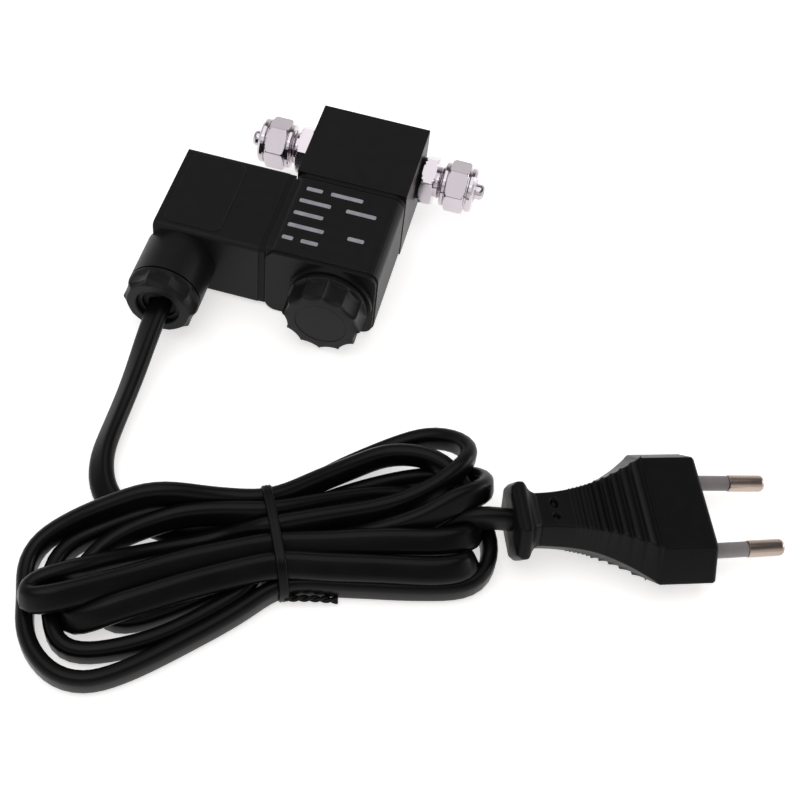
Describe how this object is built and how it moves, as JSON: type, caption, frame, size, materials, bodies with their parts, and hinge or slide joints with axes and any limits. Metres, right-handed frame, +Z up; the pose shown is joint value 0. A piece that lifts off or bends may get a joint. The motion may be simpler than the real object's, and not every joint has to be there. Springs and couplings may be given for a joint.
{
  "type": "solenoid valve",
  "caption": "Compact shut-off solenoid valve with encapsulated coil, plug-in connector, tube screw fittings and a bundled mains lead with flat plug.",
  "frame": {"origin": "middle of the valve's own outline (without the lead), on the surface it lies on", "axes": "+X along the flow from inlet to outlet, +Y along the valve axis from coil to body, +Z up with the valve lying on its wide side"},
  "size_m": [0.1686, 0.169, 0.022],
  "materials": {
    "anodised_black": "satin black anodised",
    "nickel": "bright nickel plate on brass",
    "brass": "plain turned brass",
    "stainless": "drawn and turned stainless steel",
    "copper": "copper ring",
    "winding": "enamelled copper wire",
    "yoke_steel": "zinc plated pressed steel",
    "zinc_screw": "zinc plated steel screw",
    "tinned": "tinned brass blade",
    "coil_plastic": "satin black glass-filled nylon",
    "bobbin_plastic": "natural nylon",
    "nut_plastic": "black plastic",
    "seal_rubber": "black nitrile rubber",
    "core_brown_pvc": "brown core insulation",
    "core_blue_pvc": "blue core insulation",
    "cord_pvc": "black soft PVC sheath",
    "plug_pvc": "black moulded PVC",
    "sleeve_plastic": "light grey pin sleeve",
    "pin_metal": "nickel plated brass pin"
  },
  "bodies": {
    "valve": {"valve_body": "anodised_black", "inlet_fitting": "nickel", "outlet_fitting": "nickel", "coil_insert": "brass", "line_contacts": "brass", "earth_contact": "brass", "armature_tube": "stainless", "fixed_core": "stainless", "return_spring": "stainless", "shading_ring": "copper", "coil_winding": "winding", "yoke": "yoke_steel", "terminal_screws": "zinc_screw", "line_blades": "tinned", "earth_blade": "tinned", "coil_housing": "coil_plastic", "conn_housing": "coil_plastic", "terminal_block": "coil_plastic", "coil_bobbin": "bobbin_plastic", "tube_o_ring": "seal_rubber", "coil_plate": "seal_rubber", "port_seals": "seal_rubber", "conn_gasket": "seal_rubber", "gland_grommet": "seal_rubber", "core_brown": "core_brown_pvc", "core_blue": "core_blue_pvc", "cord_lead": "cord_pvc", "cord_hank": "cord_pvc", "cord_tail": "cord_pvc", "cord_tie": "cord_pvc", "plug_collar": "cord_pvc", "plug_body": "plug_pvc", "plug_sleeves": "sleeve_plastic", "plug_pin_near": "pin_metal", "plug_pin_far": "pin_metal"},
    "plunger": {"plunger": "stainless", "plunger_seal": "seal_rubber"},
    "coil_washer": {"coil_washer": "nut_plastic"},
    "coil_nut": {"coil_nut": "coil_plastic"},
    "gland_ring": {"gland_ring": "nut_plastic"},
    "gland_nut": {"gland_nut": "coil_plastic"},
    "inlet_ferrule": {"inlet_ferrule": "brass"},
    "inlet_nut": {"inlet_nut": "nickel"},
    "outlet_ferrule": {"outlet_ferrule": "brass"},
    "outlet_nut": {"outlet_nut": "nickel"},
    "conn_screw_washer": {"conn_screw_washer": "seal_rubber"},
    "conn_screw": {"conn_screw": "zinc_screw"}
  },
  "joints": [
    {"name": "plunger_slide", "type": "slide", "parent": "valve", "child": "plunger", "axis": [0, -1, 0], "range_m": [0, 0.0009], "stiffness_N_per_m": 200, "springref_m": -0.003, "deforming": ["return_spring"]},
    {"name": "coil_washer_slide", "type": "slide", "parent": "valve", "child": "coil_washer", "axis": [0, -1, 0], "range_m": [0, 0.003]},
    {"name": "coil_nut_turn", "type": "hinge", "parent": "coil_washer", "child": "coil_nut", "pos_m": [0.0098, -0.0238, 0.011], "axis": [0, -1, 0], "range_deg": [0, 1080]},
    {"name": "gland_ring_slide", "type": "slide", "parent": "valve", "child": "gland_ring", "axis": [0, -1, 0], "range_m": [0, 0.003]},
    {"name": "gland_nut_turn", "type": "hinge", "parent": "gland_ring", "child": "gland_nut", "pos_m": [-0.0296, -0.0328, 0.011], "axis": [0, -1, 0], "range_deg": [0, 720]},
    {"name": "inlet_ferrule_slide", "type": "slide", "parent": "valve", "child": "inlet_ferrule", "axis": [-1, 0, 0], "range_m": [0, 0.002]},
    {"name": "inlet_nut_turn", "type": "hinge", "parent": "inlet_ferrule", "child": "inlet_nut", "pos_m": [-0.0182, 0.0288, 0.011], "axis": [-1, 0, 0], "range_deg": [0, 720]},
    {"name": "outlet_ferrule_slide", "type": "slide", "parent": "valve", "child": "outlet_ferrule", "axis": [1, 0, 0], "range_m": [0, 0.002]},
    {"name": "outlet_nut_turn", "type": "hinge", "parent": "outlet_ferrule", "child": "outlet_nut", "pos_m": [0.0318, 0.0288, 0.011], "axis": [1, 0, 0], "range_deg": [0, 720]},
    {"name": "conn_screw_washer_slide", "type": "slide", "parent": "valve", "child": "conn_screw_washer", "axis": [-1, 0, 0], "range_m": [0, 0.002]},
    {"name": "conn_screw_turn", "type": "hinge", "parent": "conn_screw_washer", "child": "conn_screw", "pos_m": [-0.0366, -0.0043, 0.011], "axis": [-1, 0, 0], "range_deg": [0, 1440]}
  ],
  "couplings": [
    {"joint": "coil_nut_turn", "follows": "coil_washer_slide", "rad_per_m": 6283.2},
    {"joint": "gland_nut_turn", "follows": "gland_ring_slide", "rad_per_m": 4188.8},
    {"joint": "inlet_nut_turn", "follows": "inlet_ferrule_slide", "rad_per_m": 6283.2},
    {"joint": "outlet_nut_turn", "follows": "outlet_ferrule_slide", "rad_per_m": 6283.2},
    {"joint": "conn_screw_turn", "follows": "conn_screw_washer_slide", "rad_per_m": 12566}
  ]
}
